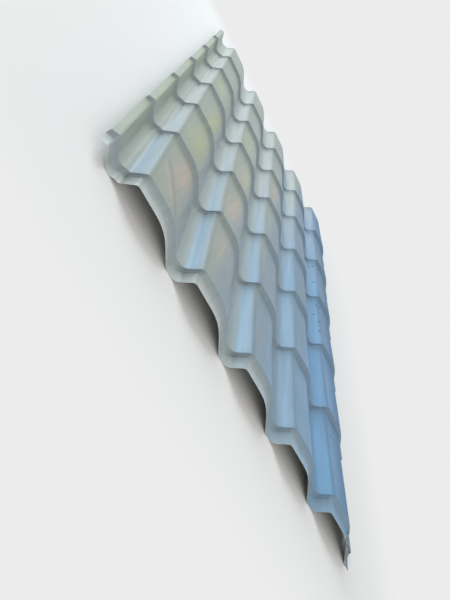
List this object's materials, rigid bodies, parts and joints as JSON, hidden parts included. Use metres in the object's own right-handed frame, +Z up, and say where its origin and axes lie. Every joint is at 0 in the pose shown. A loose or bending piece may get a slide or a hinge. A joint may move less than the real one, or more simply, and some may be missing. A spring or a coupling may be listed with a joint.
{
  "type": "corrugated metal sheet",
  "caption": "Tile-effect corrugated steel roofing sheet with wide crests, narrow valleys, cross steps and a lapping lip, in pale grey paint, lying flat.",
  "frame": {"origin": "centre of the sheet's bounding box, on the floor that its valleys rest on", "axes": "+X across the waves, from the lapping lip to the far long edge; +Y along the sheet, from the cut end that the step risers face to the other end; +Z up, out of the pale face"},
  "size_m": [1.18, 2.145, 0.0525],
  "materials": {
    "pale_coating": "smooth pale grey coil coating, semi-gloss, weathered"
  },
  "bodies": {
    "root": {"sheet": "pale_coating"}
  },
  "joints": []
}
